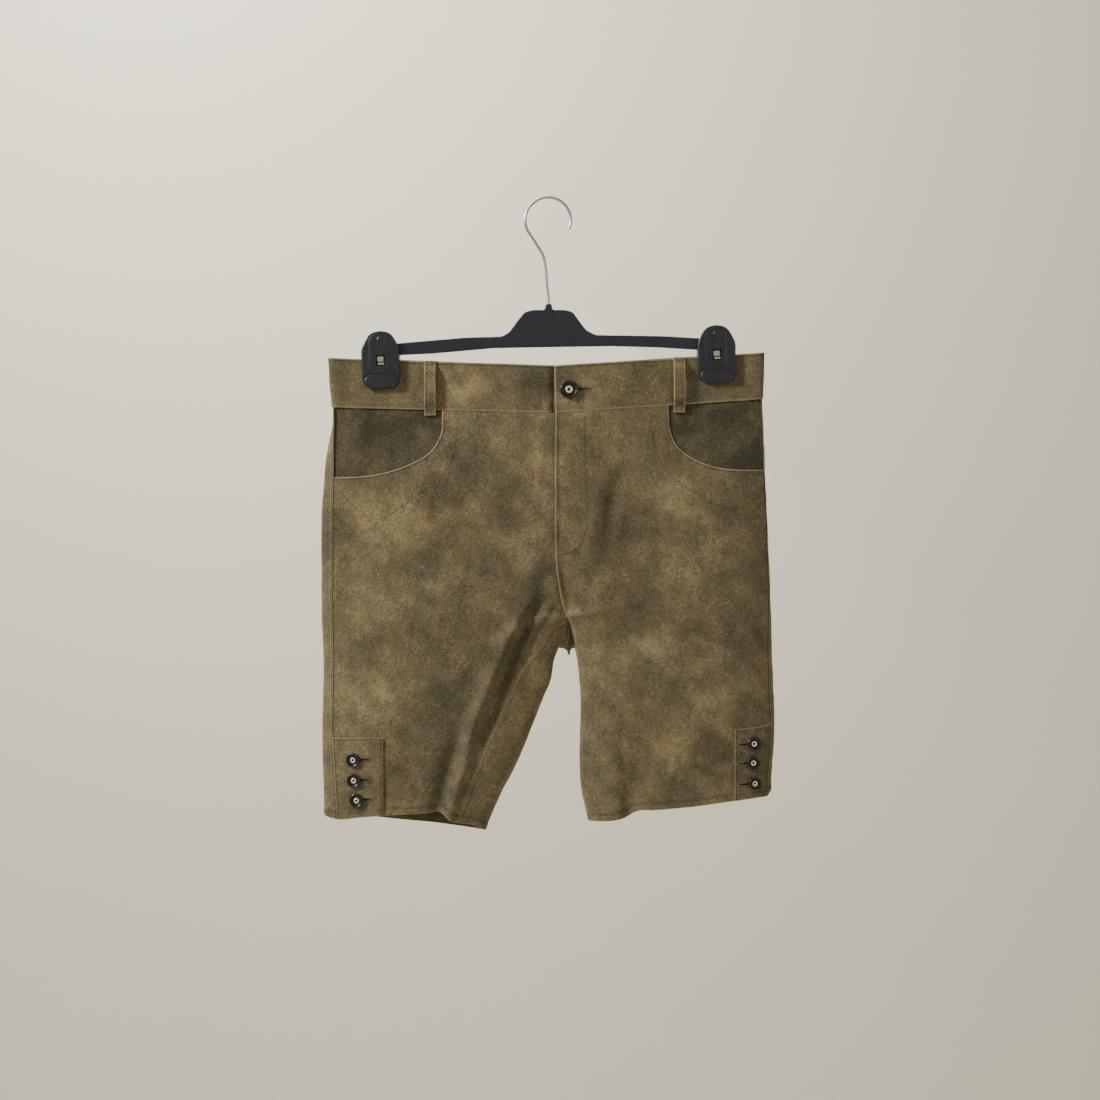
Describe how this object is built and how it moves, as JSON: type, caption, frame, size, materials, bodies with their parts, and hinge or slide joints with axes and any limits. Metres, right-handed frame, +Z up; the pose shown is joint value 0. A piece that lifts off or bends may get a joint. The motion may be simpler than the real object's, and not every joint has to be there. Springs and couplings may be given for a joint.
{
  "type": "lederhosen on a clip hanger",
  "caption": "Suede leather shorts with scoop pockets, belt loops and buttoned leg vents, hanging flat by the waistband from a trouser hanger.",
  "frame": {"origin": "inside top of the hanger's hook, where the rail bears", "axes": "+Z up along the hook's stem, +X to the wearer's left, which is right in a view of the front, +Y from the front of the shorts to the back"},
  "size_m": [0.4786, 0.0519, 0.6699],
  "materials": {
    "suede": "napped suede, olive brown, mottled",
    "suede_hip": "napped suede, a shade darker",
    "horn": "polished dark brown horn",
    "hanger_plastic": "moulded black, satin",
    "hook_wire": "bright drawn steel wire",
    "clip_nickel": "nickel plated"
  },
  "bodies": {
    "root": {"back_left": "suede", "back_right": "suede", "belt_loop_back_left": "suede", "belt_loop_back_right": "suede", "belt_loop_centre_back": "suede", "belt_loop_front_left": "suede", "belt_loop_front_right": "suede", "button_waist": "horn", "clip_back_left": "hanger_plastic", "clip_back_right": "hanger_plastic", "clip_front_left": "hanger_plastic", "clip_front_right": "hanger_plastic", "clip_spring_left": "clip_nickel", "clip_spring_right": "clip_nickel", "front_left": "suede", "front_right": "suede", "hanger_bar": "hanger_plastic", "hanger_hook": "hook_wire", "hip_piece_left": "suede_hip", "hip_piece_right": "suede_hip", "leg_button_left_bottom": "horn", "leg_button_left_middle": "horn", "leg_button_left_top": "horn", "leg_button_right_bottom": "horn", "leg_button_right_middle": "horn", "leg_button_right_top": "horn", "vent_placket_left": "suede", "vent_placket_right": "suede", "waistband_left": "suede", "waistband_right": "suede"}
  },
  "joints": []
}
